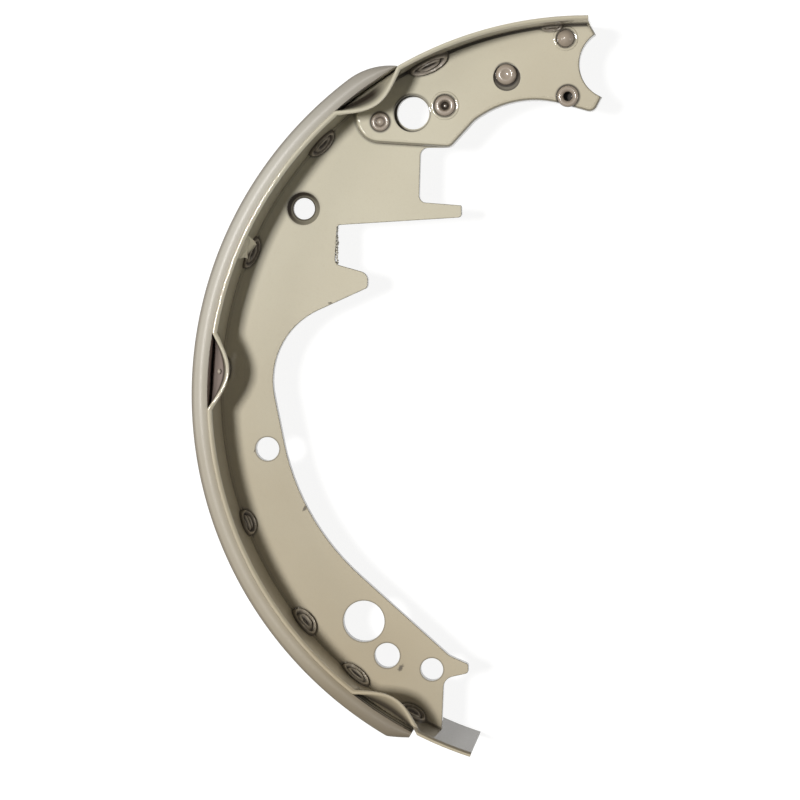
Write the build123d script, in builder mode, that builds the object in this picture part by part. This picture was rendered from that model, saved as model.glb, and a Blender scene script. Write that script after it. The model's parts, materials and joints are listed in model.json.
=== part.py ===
from build123d import *

import os
from math import atan, cos, degrees, dist, isclose, pi, radians, sin, sqrt, tan

# A welded drum brake shoe, lying on the plain edge of its table. The drum's axis is +Z,
# with z = 0 at the plain edge, so the web lies level and the edge with the pressed nibs is on top.
# Angles are in degrees about that axis from +X, and all lengths are in millimetres.
# Corners and holes of the web are placed by their angle and by their depth below the
# table's inner face, so they keep their distance from the table when the drum changes.

# Lining
drum_radius = 155.0
lining_thickness = 6.5
lining_side_step = 0.5
lining_top_angle = 119.5
lining_bottom_angle = 242.8
top_chamfer_length = 18.5
bottom_chamfer_length = 8.2
top_chamfer_bulge = 1.7
bottom_chamfer_bulge = 0.15
top_end_thickness = 0.5
bottom_end_thickness = 2.6
lining_outer_rounding = 2.2
lining_inner_rounding = 0.5

# Table
table_width = 60.0
table_thickness = 1.8
table_top_angle = 89.35
table_bottom_angle = 252.4

# Nibs pressed into the front edge of the table
nib_angles = (125.2, 176.0, 237.9)
nib_width = 30.0
nib_rise = 7.4
nib_depth = 12.0
nib_flank = 2.5
nib_fade_power = 1.5
nib_arch_points = 9
nib_fade_steps = 3

# Web
web_thickness = 5.0
web_centre_height = 30.0
web_edge_rounding = 0.4

# End plate
plate_thickness = 4.5
plate_edge_rounding = 1.6
plate_corner = (132.3, 9.8)
plate_corner_radius = 10.0
plate_top_angle = 128.7

# Round anchor notch between the first two corners of the web and the end plate
notch_depth = 7.7
notch_overrun = 0.15
notch_rounding = 0.7

# Edge of the web and the plate from the notch to the plate's lowest corner:
# angle, depth below the table and corner radius
end_corners = (
    (88.4, 3.9, 0.0),
    (86.9, 28.3, 0.0),
    (88.4, 34.8, 3.2),
    (102.5, 23.4, 39.0),
    (111.9, 28.9, 12.0),
    (118.6, 34.4, 3.0),
)

# Edge of the web from the plate to the table: the strut arm, the slot under it,
# the hook, the long inner sweep and the toe
web_corners = (
    (123.8, 28.1, 3.2),
    (130.9, 44.9, 2.8),
    (123.3, 56.3, 0.5),
    (125.0, 60.3, 1.6),
    (145.7, 26.2, 1.2),
    (152.5, 33.3, 2.4),
    (150.9, 46.9, 3.6),
    (153.9, 49.4, 1.9),
    (169.7, 14.6, 31.0),
    (204.0, 20.9, 97.0),
    (242.4, 28.3, 7.0),
    (246.4, 28.6, 1.4),
    (247.1, 25.3, 1.6),
    (243.4, 19.1, 4.5),
)
web_bottom_angle = 246.7

# Share of an edge that the radii of its two corners may take up
edge_share_for_radii = 0.98

# Holes in the web: angle, depth below the table, radius
lever_pin_hole = (146.6, 11.3, 4.3)
lever_pin_sink_radius = 6.6
lever_pin_sink_angle = 90
adjuster_hole = (121.5, 14.9, 6.45)
hold_down_hole = (189.7, 16.8, 4.75)
cable_guide_hole = (225.6, 19.1, 8.3)
strut_hole = (232.7, 14.8, 5.05)
spring_hole = (240.7, 20.1, 4.55)

# Hole in the end plate over the adjuster hole
plate_adjuster_hole = (121.6, 15.3, 7.3)

# Rivets through the plate and the web: angle, depth below the table and radius of the front head
corner_rivet = (126.9, 10.7, 3.7)
recessed_rivet = (115.9, 18.8, 4.2)
button_rivet = (103.9, 15.6, 4.2)
dome_rivet = (93.2, 5.2, 3.45)
tubular_rivet = (93.4, 28.1, 4.3)
shank_radius = 2.6
head_height = 1.0
dome_height = 2.6
rear_head_radius = 3.4
rear_head_height = 1.2
tubular_bore_radius = 1.85
tubular_bore_depth = 6.0
button_recess_radius = 5.45
button_recess_depth = 1.2
button_recess_shift = 1.2

# Sections of the front heads as arcs from the rivet's axis, or its bore, out to the rim: radius as
# a share of the head's and height over the plate as a multiple of the head's height.
# Two points make an arc that leaves the axis level, and three an arc through the middle one.
corner_head = (((0, 0.9), (0.49, 0.1)), ((0.49, 0.1), (0.76, 1), (1, 0)))
recessed_head = (
    ((0, -0.9), (0.29, -1.8)),
    ((0.29, -1.8), (0.42, -0.5), (0.52, 0.75)),
    ((0.52, 0.75), (0.74, 0.95), (1, 0)),
)
button_head = (
    ((0, 0.5), (0.45, 0.95)),
    ((0.45, 0.95), (0.88, 0.5), (1, -button_recess_depth / head_height)),
)
dome_head = (((0, dome_height / head_height), (1, 0)),)
tubular_head = (
    ((tubular_bore_radius / tubular_rivet[2], -0.6), (0.51, 0.6), (0.7, 1)),
    ((0.7, 1), (0.92, 0.7), (1, 0)),
)

rivets = (corner_rivet, recessed_rivet, button_rivet, dome_rivet, tubular_rivet)

# Welds in the corner between the web and the table, on both faces of the web:
# angle, length and leg
welds = (
    (95.2, 8.6, 1.8),
    (115.3, 17.0, 4.0),
    (136.4, 13.5, 3.5),
    (157.0, 13.5, 3.3),
    (176.0, 11.0, 3.0),
    (200.7, 11.0, 3.9),
    (218.9, 13.0, 4.3),
    (230.6, 13.5, 3.3),
    (241.4, 12.0, 3.6),
)
# Levels of a bead over its corner: height and half width as shares of the throat, half length
# as a share of the bead's half length
bead_levels = ((0, 1, 1.2), (0.9, 0.96, 1.1), (1.1, 0.84, 0.85))
# Crater in a bead's crown: its length, width and depth as shares of the bead's length and leg,
# and its floor as a share of its opening
crater_length_share = 0.6
crater_width_share = 0.68
crater_depth_share = 0.3
crater_floor_share = 0.6

table_outer_radius = drum_radius - lining_thickness
table_inner_radius = table_outer_radius - table_thickness
web_rear_height = web_centre_height - web_thickness / 2
web_front_height = web_centre_height + web_thickness / 2
plate_front_height = web_front_height + plate_thickness


def polar(radius, angle):
    """Point at a radius and an angle about the drum's axis."""
    return (radius * cos(radians(angle)), radius * sin(radians(angle)))


def below_table(angle, depth):
    """Point at an angle and at a depth below the table's inner face."""
    return polar(table_inner_radius - depth, angle)


def arc_angle(length, radius):
    """Angle that a length along a circle covers."""
    return degrees(length / radius)


def drum_arc(radius, start, end):
    """Arc about the drum's axis, added to the line being built."""
    return ThreePointArc(polar(radius, start), polar(radius, (start + end) / 2), polar(radius, end))


def radial_plane(angle):
    """Plane through the drum's axis, its x outwards and its y up the axis."""
    return Plane(origin=(0, 0, 0), x_dir=polar(1, angle), z_dir=polar(1, angle - 90))


def sector(start, end, inner_radius, outer_radius, height):
    """Flat annular sector at a height."""
    with BuildSketch(Plane.XY.offset(height)) as flat:
        with BuildLine():
            drum_arc(outer_radius, start, end)
            drum_arc(inner_radius, start, end)
            Line(polar(inner_radius, start), polar(outer_radius, start))
            Line(polar(inner_radius, end), polar(outer_radius, end))
        make_face()
    return flat.sketch


def limited_radii(points, radii):
    """Corner radii, made smaller where two neighbours would not fit on the edge between them."""
    reach = []
    for before, corner, after, radius in zip(points, points[1:], points[2:], radii):
        leg_in = Vector(*corner) - Vector(*before)
        leg_out = Vector(*after) - Vector(*corner)
        reach.append(radius * tan(radians(leg_in.get_angle(leg_out) / 2)))
    ends = [0.0] + reach + [0.0]
    edges = [dist(a, b) for a, b in zip(points, points[1:])]
    load = [
        (a + b) / (edge_share_for_radii * edge) for a, b, edge in zip(ends, ends[1:], edges)
    ]
    return [radius / max(1.0, a, b) for radius, a, b in zip(radii, load, load[1:])]


def web_shape(corners, first_angle, last_angle, height):
    """Flat shape with rounded corners, closed by the table's inner face."""
    points = [below_table(first_angle, 0)]
    points += [below_table(angle, depth) for angle, depth, _ in corners]
    points += [below_table(last_angle, 0)]
    radii = limited_radii(points, [radius for _, _, radius in corners])
    with BuildSketch(Plane.XY.offset(height)) as flat:
        with BuildLine():
            FilletPolyline(points, radius=radii)
            drum_arc(table_inner_radius, first_angle, last_angle)
        make_face()
    return flat.sketch


def notch():
    """Centre and radius of the anchor notch, an arc just past the first two corners."""
    first, second = [Vector(*below_table(angle, depth)) for angle, depth, _ in end_corners[:2]]
    edge = second - first
    half_chord = edge.length / 2 + notch_overrun
    radius = (notch_depth**2 + half_chord**2) / (2 * notch_depth)
    outward = Vector(-edge.Y, edge.X).normalized()
    centre = (first + second) / 2 + outward * (radius - notch_depth)
    return (centre.X, centre.Y), radius


def free_edges(edges):
    """Edges that don't lie on the table's inner face."""

    def off_axis(edge):
        middle = edge.position_at(0.5)
        return sqrt(middle.X**2 + middle.Y**2)

    return edges.filter_by(lambda edge: not isclose(off_axis(edge), table_inner_radius))


def nib_section(angle, step):
    """Section of the table's wall at a nib, a number of steps down from the front edge.

    The wall arches inwards as half a cosine wave, and the arch fades out at the nib's depth.
    """
    share = ((nib_fade_steps - step) / nib_fade_steps) ** nib_fade_power
    half_angle = arc_angle(nib_width / 2, table_outer_radius)
    flank_angle = half_angle + arc_angle(nib_flank, table_outer_radius)
    steepness = share * nib_rise * pi / nib_width
    mitre = arc_angle(table_thickness * tan(atan(steepness) / 2), table_inner_radius)

    def arch(part, inset):
        """Point of the arch at a part of its half width, moved inwards by an inset."""
        radius = table_outer_radius - share * nib_rise * cos(part * pi / 2)
        slope = steepness * sin(part * pi / 2)
        run = sqrt(1 + slope**2)
        x, y = radius - inset / run, inset * slope / run
        turn = radians(angle + part * half_angle)
        return (x * cos(turn) - y * sin(turn), x * sin(turn) + y * cos(turn))

    half = (nib_arch_points + 1) // 2
    parts = [number / half for number in range(1 - half, half)]
    with BuildSketch(Plane.XY.offset(table_width - nib_depth * step / nib_fade_steps)) as section:
        with BuildLine():
            for radius, inset, kink in (
                (table_outer_radius, 0, half_angle),
                (table_inner_radius, table_thickness, half_angle + mitre),
            ):
                drum_arc(radius, angle - flank_angle, angle - kink)
                drum_arc(radius, angle + kink, angle + flank_angle)
                middle = [arch(part, inset) for part in parts]
                Spline(polar(radius, angle - kink), *middle, polar(radius, angle + kink))
            for end in (angle - flank_angle, angle + flank_angle):
                Line(polar(table_inner_radius, end), polar(table_outer_radius, end))
        make_face()
    return section.sketch


def weld_bead(angle, length, leg, base_height, side):
    """Bead in the corner of the table and the face under it, with a raised rim and a crater.

    Side is 1 where the bead stands on a front face and -1 where it hangs under a rear face.
    """
    outward = polar(1, angle)
    throat = leg / sqrt(2)
    slanted = Plane(
        origin=(*polar(table_inner_radius, angle), base_height),
        x_dir=polar(1, angle + 90),
        z_dir=(-outward[0], -outward[1], side),
    )
    with BuildPart() as bead:
        for rise, long_share, wide_share in bead_levels:
            with BuildSketch(slanted.offset(rise * throat)):
                Ellipse(long_share * length / 2, wide_share * throat)
        loft()
        crown = bead_levels[-1][0] * throat
        for level, share in ((-1, crater_floor_share), (1, 2 - crater_floor_share)):
            with BuildSketch(slanted.offset(crown + level * crater_depth_share * leg)):
                Ellipse(
                    share * crater_length_share * length / 2,
                    share * crater_width_share * leg / 2,
                )
        loft(mode=Mode.SUBTRACT)
        with BuildSketch(Plane.XY.offset(base_height)):
            Circle(table_inner_radius)
        extrude(amount=side * 2 * leg, mode=Mode.INTERSECT)
    return bead.part


os.makedirs("parts", exist_ok=True)

# Table: a rolled strip, cut away at each nib and filled again by the pressed wall
nib_half_angle = arc_angle(nib_width / 2 + nib_flank, table_outer_radius)
with BuildPart() as shoe_table:
    add(sector(table_top_angle, table_bottom_angle, table_inner_radius, table_outer_radius, 0))
    extrude(amount=table_width)
    for nib_angle in nib_angles:
        add(
            sector(
                nib_angle - nib_half_angle,
                nib_angle + nib_half_angle,
                table_inner_radius,
                table_outer_radius,
                table_width - nib_depth,
            )
        )
        extrude(amount=nib_depth, mode=Mode.SUBTRACT)
    for nib_angle in nib_angles:
        loft(sections=[nib_section(nib_angle, step) for step in range(nib_fade_steps + 1)])
shoe_table.part.label = "shoe_table"
export_step(shoe_table.part, "parts/shoe_table.step")

# Lining: a curved block bonded to the table, rounded along its sides and thinned at both ends
with BuildPart() as lining:
    with BuildSketch(radial_plane(lining_top_angle)):
        with Locations((table_outer_radius + lining_thickness / 2, table_width / 2)):
            section = Rectangle(lining_thickness, table_width - 2 * lining_side_step)
        columns = section.vertices().group_by(Axis.X)
        fillet(columns[0], lining_inner_rounding)
        fillet(columns[-1], lining_outer_rounding)
    revolve(axis=Axis.Z, revolution_arc=lining_bottom_angle - lining_top_angle)
    for end, length, bulge, end_thickness in (
        (lining_top_angle, top_chamfer_length, top_chamfer_bulge, top_end_thickness),
        (
            lining_bottom_angle,
            -bottom_chamfer_length,
            -bottom_chamfer_bulge,
            bottom_end_thickness,
        ),
    ):
        chamfer_end = end + arc_angle(length, drum_radius)
        beyond = end - arc_angle(length, drum_radius)
        with BuildSketch():
            with BuildLine():
                SagittaArc(
                    polar(drum_radius, chamfer_end),
                    polar(table_outer_radius + end_thickness, end),
                    bulge,
                )
                Polyline(
                    polar(table_outer_radius + end_thickness, end),
                    polar(table_outer_radius + end_thickness, beyond),
                    polar(drum_radius + lining_thickness, beyond),
                    polar(drum_radius + lining_thickness, chamfer_end),
                    polar(drum_radius, chamfer_end),
                )
            make_face()
        extrude(amount=table_width, mode=Mode.SUBTRACT)
lining.part.label = "lining"
export_step(lining.part, "parts/lining.step")

# Web: flat steel profile welded inside the table
notch_centre, notch_radius = notch()
with BuildPart() as web:
    corners = end_corners + web_corners
    add(web_shape(corners, table_top_angle, web_bottom_angle, web_rear_height))
    extrude(amount=web_thickness)
    with Locations((*notch_centre, web_front_height)):
        Hole(notch_radius)
    fillet(free_edges(web.faces().filter_by(Axis.Z).edges()), web_edge_rounding)
    for angle, depth, radius in (
        adjuster_hole,
        hold_down_hole,
        cable_guide_hole,
        strut_hole,
        spring_hole,
    ):
        with Locations((*below_table(angle, depth), web_front_height)):
            Hole(radius)
    angle, depth, radius = lever_pin_hole
    with Locations((*below_table(angle, depth), web_front_height)):
        CounterSinkHole(
            radius, lever_pin_sink_radius, counter_sink_angle=lever_pin_sink_angle
        )
    for angle, depth, _ in rivets:
        with Locations((*below_table(angle, depth), web_front_height)):
            Hole(shank_radius)
web.part.label = "web"
export_step(web.part, "parts/web.step")

# End plate: riveted on the front of the web's upper end
with BuildPart() as end_plate:
    plate_corners = end_corners + ((*plate_corner, plate_corner_radius),)
    add(web_shape(plate_corners, table_top_angle, plate_top_angle, web_front_height))
    extrude(amount=plate_thickness)
    fillet(free_edges(end_plate.faces().sort_by(Axis.Z)[-1].edges()), plate_edge_rounding)
    with Locations((*notch_centre, plate_front_height)):
        Hole(notch_radius)
    rims = end_plate.faces().sort_by(Axis.Z)[-1].edges().filter_by(GeomType.CIRCLE)
    fillet(rims.sort_by(lambda e: abs(e.radius - notch_radius))[0], notch_rounding)
    angle, depth, radius = plate_adjuster_hole
    with Locations((*below_table(angle, depth), plate_front_height)):
        Hole(radius)
    angle, depth, _ = button_rivet
    with Locations((*below_table(angle, depth + button_recess_shift), plate_front_height)):
        Hole(button_recess_radius, depth=button_recess_depth)
    for angle, depth, _ in rivets:
        with Locations((*below_table(angle, depth), plate_front_height)):
            Hole(shank_radius)
end_plate.part.label = "end_plate"
export_step(end_plate.part, "parts/end_plate.step")

# Rivets, each turned about its own axis, with heights over the plate's front face
tubular_bore = ((0, -tubular_bore_depth), (tubular_bore_radius, -tubular_bore_depth))
rear_face = -plate_thickness - web_thickness
rear_rim = rear_face - rear_head_height / 2
rear_top = rear_face - rear_head_height
for name, place, head, bore in (
    ("corner_rivet", corner_rivet, corner_head, ()),
    ("recessed_rivet", recessed_rivet, recessed_head, ()),
    ("button_rivet", button_rivet, button_head, ()),
    ("dome_rivet", dome_rivet, dome_head, ()),
    ("tubular_rivet", tubular_rivet, tubular_head, tubular_bore),
):
    angle, depth, radius = place
    x, y = below_table(angle, depth)
    arcs = [[(share * radius, level * head_height) for share, level in arc] for arc in head]
    with BuildPart() as rivet:
        with BuildSketch(Plane((x, y, plate_front_height), x_dir=(1, 0, 0), z_dir=(0, -1, 0))):
            with BuildLine():
                for arc in arcs:
                    if len(arc) == 2:
                        TangentArc(*arc, tangent=(1, 0))
                    else:
                        ThreePointArc(*arc)
                rim = arcs[-1][-1]
                Polyline(
                    rim,
                    (shank_radius, rim[1]),
                    (shank_radius, rear_face),
                    (rear_head_radius, rear_face),
                    (rear_head_radius, rear_rim),
                )
                TangentArc((0, rear_top), (rear_head_radius, rear_rim), tangent=(1, 0))
                Polyline((0, rear_top), *bore, arcs[0][0])
            make_face()
        revolve(axis=Axis((x, y, 0), (0, 0, 1)))
    rivet.part.label = name
    export_step(rivet.part, f"parts/{name}.step")

# Welds: one bead on each face at every weld, on the plate where it covers the web
for number, (angle, length, leg) in enumerate(welds, start=1):
    front_height = plate_front_height if angle < plate_top_angle else web_front_height
    for face, base_height, side in (("front", front_height, 1), ("rear", web_rear_height, -1)):
        bead = weld_bead(angle, length, leg, base_height, side)
        bead.label = f"weld_{face}_{number}"
        export_step(bead, f"parts/weld_{face}_{number}.step")
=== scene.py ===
import json
from math import atan2, cos, hypot, pi, radians, sin, sqrt, tau

import bmesh
import bpy
from mathutils import Matrix, Vector


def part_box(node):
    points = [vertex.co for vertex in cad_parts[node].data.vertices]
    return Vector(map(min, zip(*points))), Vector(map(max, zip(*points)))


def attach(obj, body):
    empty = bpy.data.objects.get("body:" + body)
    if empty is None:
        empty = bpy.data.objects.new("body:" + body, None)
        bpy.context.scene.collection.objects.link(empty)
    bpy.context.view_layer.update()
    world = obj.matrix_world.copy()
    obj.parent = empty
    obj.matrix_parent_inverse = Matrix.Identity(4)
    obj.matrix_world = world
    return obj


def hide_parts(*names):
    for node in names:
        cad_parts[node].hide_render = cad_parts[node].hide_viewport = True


bl_info = {
    "name": "Drum Brake Shoe",
    "version": (1, 0, 0),
    "blender": (4, 5, 0),
    "location": "3D View > Sidebar > Brake Shoe",
    "description": "Gives a welded drum brake shoe its paint, weld beads, rivet heads and rims",
    "category": "Object",
}

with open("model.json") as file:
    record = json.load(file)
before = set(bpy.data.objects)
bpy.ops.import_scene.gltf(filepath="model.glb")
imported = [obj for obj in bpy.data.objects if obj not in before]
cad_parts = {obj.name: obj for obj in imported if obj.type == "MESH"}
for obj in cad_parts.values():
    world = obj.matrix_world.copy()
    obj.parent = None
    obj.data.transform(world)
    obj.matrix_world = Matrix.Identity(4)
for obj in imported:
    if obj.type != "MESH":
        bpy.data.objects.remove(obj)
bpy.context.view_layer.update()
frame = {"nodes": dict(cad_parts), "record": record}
nodes = frame["nodes"]

MM = 0.001
TABLE_LOW, TABLE_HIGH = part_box("shoe_table")
LINING_LOW, LINING_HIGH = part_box("lining")
WEB_LOW, WEB_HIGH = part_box("web")
PLATE_LOW, PLATE_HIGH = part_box("end_plate")

# Thickness of the table in millimetres, and the radii of its two sides in metres
TABLE_WALL = 1.8
TABLE_OUTSIDE = -TABLE_LOW[0]
TABLE_INSIDE = TABLE_OUTSIDE - TABLE_WALL * MM
# The table stays this much inside its plain solid, and the web lies within this radius
TABLE_GAP = 0.01 * MM
WEB_REACH = TABLE_INSIDE - 0.8 * MM
# Keeps divisions away from zero, and joins points that lie no further apart
TINY = 1e-6

# Angle in degrees, length and leg in millimetres of each weld, from the horn down to the toe
WELDS = (
    (95.2, 8.6, 1.8),
    (115.3, 17.0, 4.0),
    (136.4, 13.5, 3.5),
    (157.0, 13.5, 3.3),
    (176.0, 11.0, 3.0),
    (200.7, 11.0, 3.9),
    (218.9, 13.0, 4.3),
    (230.6, 13.5, 3.3),
    (241.4, 12.0, 3.6),
)
# Welds up to this number stand on the end plate, and this one has streaks along it
PLATE_WELDS = 2
STREAKED_WELD = 6
# A bead is this much longer than its weld, because its ends are thin
BEAD_OVERRUN = 1.04
# Place and width of a bead's rim, groove and mound, from 0 in its middle to 1 at its edge
BEAD_BANDS = ((0.84, 0.10), (0.64, 0.09), (0.42, 0.14))
# Added to the seeds of the rear beads
REAR_SEEDS = 20

# Holes with a ring of painted shade on their edge, heavier on the upper left where the wall lies in
# shade: angle in degrees, depth under the table, then radius and width of the ring in millimetres,
# its strength, and how far it leans to the upper left
HOLE_RINGS = (
    (146.6, 11.3, 5.9, 0.95, 1.5, 0.5),
    (146.6, 11.3, 4.55, 0.35, 0.9, 0.1),
    (121.5, 14.9, 7.2, 0.5, 0.8, 0.3),
    (189.7, 16.8, 4.9, 0.3, 0.6, 0.0),
    (225.6, 19.1, 8.4, 0.3, 0.6, 0.0),
    (232.7, 14.8, 5.2, 0.3, 0.6, 0.0),
    (240.7, 20.1, 4.7, 0.3, 0.6, 0.0),
)
# Painted shade ring round a rivet's head: gap to the head and width in millimetres, then strength and
# lean
RIVET_RING = (0.2, 0.45, 1.0, 0.1)
# Painted shade in the recess round the button rivet: reach in millimetres, and how dark it is
SUNK_REACH = 8.0
SUNK_SHADE = 0.72
# Marks on the web in millimetres: place in X and Y, half width and half height
MARKS = (
    (-113.0, -45.8, 0.9, 1.3),
    (-133.2, -22.5, 0.3, 0.9),
    (-74.5, -109.9, 1.1, 1.5),
    (-102.5, 36.7, 0.9, 0.5),
)
# How far a mark leans, and how ragged its edge is
MARK_SLANT = 0.4
MARK_RAGGED = 1.2
# Stretches in metres over which the paint turns darker and warmer, down along Y and right along X,
# as painted shade for the light that falls off towards the toe, and how much they, the broad noise
# and the grain add to this; the noise and the grain vary the tone at random
DARKER_WARMER_DOWN = (0.10, -0.13)
DARKER_WARMER_RIGHT = (-0.06, 0.0)
SHADE_AND_WARMTH = {"down": 0.8, "right": 0.35, "broad": 0.8, "grain": 0.5}
# How much the grain and the stored grime and painted shade add to the roughness
ROUGHER = {"grain": 0.16, "grime_and_shade": 0.15}
# Scales of the noises: broad tint, fine grain, orange peel, and the ragged edge of the marks
BROAD_SCALE = 16.0
GRAIN_SCALE = 1100.0
PEEL_SCALE = 380.0
MARK_SCALE = 1500.0
# Stored grime and painted shade over 1 means bare steel, and this value means nothing but bare steel
BARE_STEEL = 1.5
# Slots whose creases get painted shade
CREASED_SLOTS = ("painted_steel", "rivet_steel", "weld_steel")
# Depths in millimetres under the lining's side: where its glue line starts and is full, and the
# middle and width of its dark seam
GLUE_LINE = (1.2, 2.2)
LINING_SEAM = (5.5, 0.9)
# Half the height of the stretch beside the middle nib, in metres
MIDDLE_STRETCH = 0.03
# Painted shadow on the upper wall just over the plate: it fades in over these metres along Y, and
# fades out between these millimetres over the plate
WALL_SHADOW_START = (0.119, 0.128)
WALL_SHADOW_END = (8.0, 4.0)
# The table's grey tail, darkened with painted shade and a duller gloss, lies right of this place in
# metres
TAIL_START = -0.068

# Columns of points along the table, along the lining and round a rivet
TABLE_COLUMNS = 640
LINING_COLUMNS = 420
RIVET_COLUMNS = 65
# Drops of the table's rows of points under its rounded rim, in millimetres
SKIRT_DROPS = (1.0, 3.0, 5.0, 7.0, 9.0, 11.0, 14.0, 25.0, 40.0)
# Slopes at the lining's ends: length along it, thickness left and bulge in millimetres
LINING_SLOPES = {"Top": (18.5, 0.5, 1.7), "Bottom": (-8.2, 2.6, 0.15)}

# Head radius in millimetres and arcs of each rivet's front, as radius and height over the plate
RIVETS = {
    "corner_rivet": (
        3.7,
        (((-1.8, 0.1), (0, 0.9), (1.8, 0.1)), ((1.8, 0.1), (2.8, 1.0), (3.7, 0.0))),
    ),
    "recessed_rivet": (
        4.2,
        (
            ((-1.2, -1.8), (0, -0.9), (1.2, -1.8)),
            ((1.2, -1.8), (1.75, -0.5), (2.2, 0.75)),
            ((2.2, 0.75), (3.1, 0.95), (4.2, 0.0)),
        ),
    ),
    "button_rivet": (
        4.2,
        (((-1.9, 0.95), (0, 0.5), (1.9, 0.95)), ((1.9, 0.95), (3.7, 0.5), (4.2, -1.2))),
    ),
    "dome_rivet": (3.45, (((-3.45, 0.0), (0, 2.6), (3.45, 0.0)),)),
    "tubular_rivet": (
        4.3,
        (((1.85, -0.6), (2.2, 0.6), (3.0, 1.0)), ((3.0, 1.0), (3.95, 0.7), (4.3, 0.0))),
    ),
}
# Radius of a rivet's shank, and its rear head as radius and height over the rear, in millimetres
SHANK_RADIUS = 2.55
REAR_HEAD = ((3.4, 0.6), (3.0, 0.2), (2.0, 0.04), (0.0, 0.0))
BORE_DEPTH = 6.0
# Collar of paint in millimetres: gap to the rivet's head, width and depth of its hidden foot
COLLAR_GAP = 0.15
COLLAR_WIDTH = 2.0
COLLAR_DEPTH = 0.11

# Outline of the torn tab: angle in degrees, and depth from the table's outside in millimetres
TAB_OUTLINE = (
    (154.2, 0.9), (154.5, 3.3), (154.9, 5.4), (155.4, 6.8), (155.6, 5.4), (156.0, 4.2),
    (156.6, 3.6), (157.3, 4.9), (157.9, 5.6), (157.8, 4.2), (158.1, 2.9), (158.3, 0.9),
)
# Drop of the tab's root under the rim and its thickness, in millimetres
TAB_ROOT = 1.1
TAB_THICKNESS = 0.45
# How far the tab droops and leans back for each millimetre past the wall, and how far its underside
# is set back for each millimetre of thickness
TAB_DROOP = 3.6
TAB_LEAN = 0.45
TAB_SETBACK = 0.6

# Ball of spatter: place in metres, radius in millimetres, and stretch along X, Y and Z
SPATTER_PLACE = (-0.1438, 0.0100, 0.0573)
SPATTER_RADIUS = 0.85
SPATTER_STRETCH = (1.0, 1.2, 1.4)

# Lamps: name, place, target and size in metres, power in watts, and colour
LAMPS = (
    ("key_lamp", (-0.812, 0.169, 2.93), (-0.08, 0.0, 0.03), 0.40, 63.0, (1.0, 0.985, 0.96)),
    ("left_box", (-1.30, -0.12, 1.00), (-0.06, 0.0, 0.03), 0.50, 3.6, (1.0, 0.98, 0.95)),
    ("right_box", (1.25, -0.10, 0.75), (-0.06, 0.0, 0.03), 0.36, 2.0, (1.0, 0.97, 0.92)),
)
# Floor: half its width and its depth in metres, its grey and its glow
FLOOR_HALF = 3.0
FLOOR_DEPTH = -0.0002
FLOOR_GREY = 0.25
FLOOR_GLOW = 0.89
# Colour of the studio, and its strength as a light; the camera sees it at full strength
STUDIO_COLOUR = (1.0, 0.98, 0.95)
STUDIO_LIGHT = 0.075
# Camera: place in metres, directions to its right, down and ahead, lens and sensor in millimetres
CAMERA_PLACE = (0.0380110, 0.0471516, 1.3284549)
CAMERA_RIGHT = Vector((0.996258697, -0.002724686, -0.086378152))
CAMERA_DOWN = Vector((0.000560480, -0.999278140, 0.037985326))
CAMERA_AHEAD = Vector((-0.086419298, -0.037891625, -0.995538010))
CAMERA_LENS = 146.25
CAMERA_SENSOR = 36.0


class Wire:
    """A socket of a node tree that takes part in expressions, where each operator adds a node."""

    def __init__(self, tree, socket=None):
        self.tree = tree
        self.socket = socket

    def node(self, kind, settings=None, inputs=None, output=0):
        """Adds a node: its settings first, then values or links for its sockets."""
        node = self.tree.nodes.new(kind)
        for name, value in (settings or {}).items():
            setattr(node, name, value)
        for name, value in (inputs or {}).items():
            if isinstance(value, Wire):
                self.tree.links.new(value.socket, node.inputs[name])
            else:
                node.inputs[name].default_value = value
        return Wire(self.tree, node.outputs[output] if node.outputs else None)

    def math(self, operation, *values, clamp=False):
        """Adds a Math node that works on numbers or sockets."""
        settings = {"operation": operation, "use_clamp": clamp}
        return self.node("ShaderNodeMath", settings, dict(enumerate(values)))

    def __add__(self, other):
        return self.math("ADD", self, other)

    def __sub__(self, other):
        return self.math("SUBTRACT", self, other)

    def __rsub__(self, other):
        return self.math("SUBTRACT", other, self)

    def __mul__(self, other):
        return self.math("MULTIPLY", self, other)

    def __truediv__(self, other):
        return self.math("DIVIDE", self, other)

    def __rtruediv__(self, other):
        return self.math("DIVIDE", other, self)

    def __pow__(self, other):
        return self.math("POWER", self, other)

    def __neg__(self):
        return self.math("MULTIPLY", self, -1.0)

    def __abs__(self):
        return self.math("ABSOLUTE", self)

    def __lt__(self, other):
        return self.math("LESS_THAN", self, other)

    def __gt__(self, other):
        return self.math("GREATER_THAN", self, other)

    __radd__ = __add__
    __rmul__ = __mul__

    def sine(self):
        return self.math("SINE", self)

    def cosine(self):
        return self.math("COSINE", self)

    def root(self):
        return self.math("SQRT", self.math("MAXIMUM", self, 0.0))

    def bell(self, centre, width):
        """Bell curve of the value round a centre."""
        off = (self - centre) / width
        return self.math("EXPONENT", -(off * off))

    def step(self, start, end):
        """0 up to the start and 1 from the end, smooth between."""
        settings = {"interpolation_type": "SMOOTHSTEP"}
        return self.node("ShaderNodeMapRange", settings, {0: self, 1: start, 2: end})

    def parts(self):
        """The three parts of a vector."""
        return [self.node("ShaderNodeSeparateXYZ", None, {0: self}, axis) for axis in "XYZ"]

    def joined(self, x, y, z):
        """Vector of three values."""
        return self.node("ShaderNodeCombineXYZ", None, {0: x, 1: y, 2: z})


def distance(x, y):
    """Length of an offset along two axes."""
    return (x * x + y * y).root()


def highest(wire, values):
    """The highest of several values."""
    top = values[0]
    for value in values[1:]:
        top = wire.math("MAXIMUM", top, value)
    return top


def noise(wire, place, scale, detail):
    """Noise from 0 to 1 round 0.5."""
    inputs = {"Vector": place, "Scale": scale, "Detail": detail}
    return wire.node("ShaderNodeTexNoise", None, inputs)


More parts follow.
